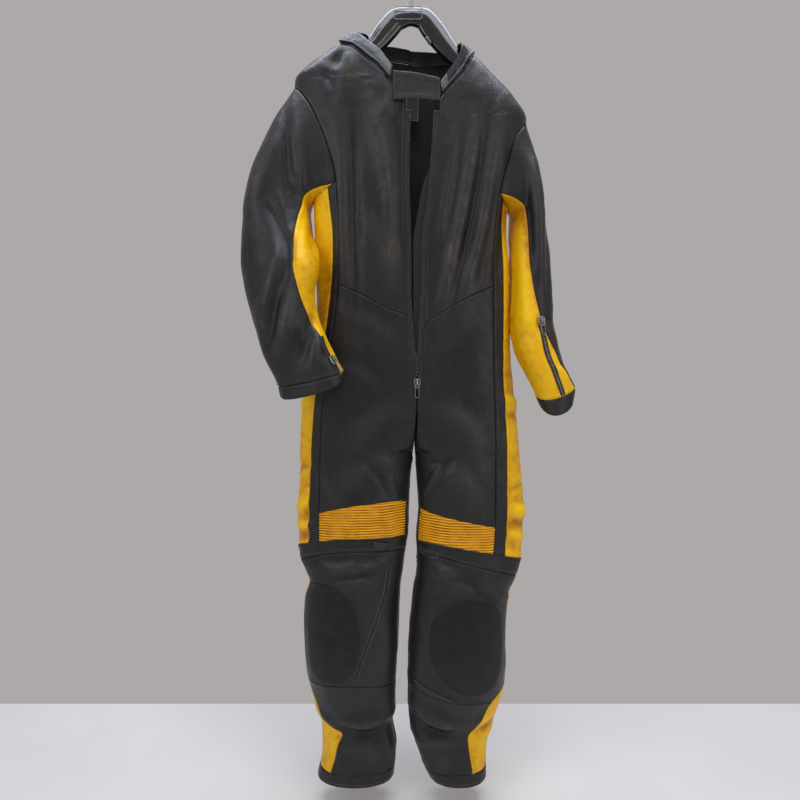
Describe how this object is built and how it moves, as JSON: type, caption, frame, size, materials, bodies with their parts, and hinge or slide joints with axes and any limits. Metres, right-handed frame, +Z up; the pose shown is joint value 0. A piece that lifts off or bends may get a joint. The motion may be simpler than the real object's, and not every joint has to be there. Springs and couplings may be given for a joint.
{
  "type": "motorcycle race suit on a hanger",
  "caption": "One-piece leather motorcycle race suit in black with yellow side panels, hanging unzipped from a moulded hanger.",
  "frame": {"origin": "inner top of the hanger hook, where the rail carries it", "axes": "+Z up; the suit's front faces -Y; the wearer's left is +X"},
  "size_m": [0.6785, 0.2291, 1.7391],
  "materials": {
    "black_leather": "satin, creased",
    "yellow_leather": "satin, creased",
    "ribbed_stretch": "satin, shirred in fine ribs",
    "hook_and_loop": "matte pile",
    "zip_tape": "woven",
    "lining_label": "woven, bare",
    "zip_metal": "worn nickel",
    "hanger_plastic": "gloss",
    "plate_plastic": "satin, bare",
    "hook_steel": "polished"
  },
  "bodies": {
    "root": {"back": "black_leather", "calf_side_left": "yellow_leather", "calf_side_right": "yellow_leather", "closure_tab": "black_leather", "collar": "black_leather", "collar_piping": "black_leather", "cuff_left": "black_leather", "cuff_right": "black_leather", "cuff_zip_left_slider": "zip_metal", "cuff_zip_right_slider": "zip_metal", "front_left": "black_leather", "front_right": "black_leather", "hanger": "hanger_plastic", "hanger_plate": "plate_plastic", "hem_left": "black_leather", "hem_right": "black_leather", "hook": "hook_steel", "hook_patch": "hook_and_loop", "inseam_left": "black_leather", "inseam_right": "black_leather", "knee_band_left": "black_leather", "knee_band_right": "black_leather", "knee_left": "black_leather", "knee_pad_left": "hook_and_loop", "knee_pad_right": "hook_and_loop", "knee_right": "black_leather", "leg_back_left": "black_leather", "leg_back_right": "black_leather", "neck_label": "lining_label", "ribbed_left": "ribbed_stretch", "ribbed_right": "ribbed_stretch", "seat_left": "black_leather", "seat_right": "black_leather", "shin_left": "black_leather", "shin_right": "black_leather", "side_left": "yellow_leather", "side_right": "yellow_leather", "side_strip_left": "black_leather", "side_strip_right": "black_leather", "sleeve_inner_left": "yellow_leather", "sleeve_inner_right": "yellow_leather", "sleeve_outer_left": "black_leather", "sleeve_outer_right": "black_leather", "thigh_side_left": "yellow_leather", "thigh_side_right": "yellow_leather", "trouser_front_left": "black_leather", "trouser_front_right": "black_leather", "wind_flap": "black_leather", "zip_slider": "zip_metal", "zip_tape_left": "zip_tape", "zip_tape_right": "zip_tape"},
    "zip_pull": {"zip_pull": "zip_metal"},
    "cuff_zip_left_pull": {"cuff_zip_left_pull": "zip_metal"},
    "cuff_zip_right_pull": {"cuff_zip_right_pull": "zip_metal"}
  },
  "joints": [
    {"name": "zip_pull_swing", "type": "hinge", "parent": "root", "child": "zip_pull", "pos_m": [0.01297, -0.07112, -0.83124], "axis": [-1, 0, 0], "range_deg": [0, 150]},
    {"name": "cuff_left_pull_swing", "type": "hinge", "parent": "root", "child": "cuff_zip_left_pull", "pos_m": [0.25725, -0.097, -0.70529], "axis": [-0.9909, -0.1043, -0.0848], "range_deg": [0, 150]},
    {"name": "cuff_right_pull_swing", "type": "hinge", "parent": "root", "child": "cuff_zip_right_pull", "pos_m": [-0.1479, -0.14304, -0.77988], "axis": [-0.5796, -0.7988, -0.1614], "range_deg": [0, 150]}
  ]
}
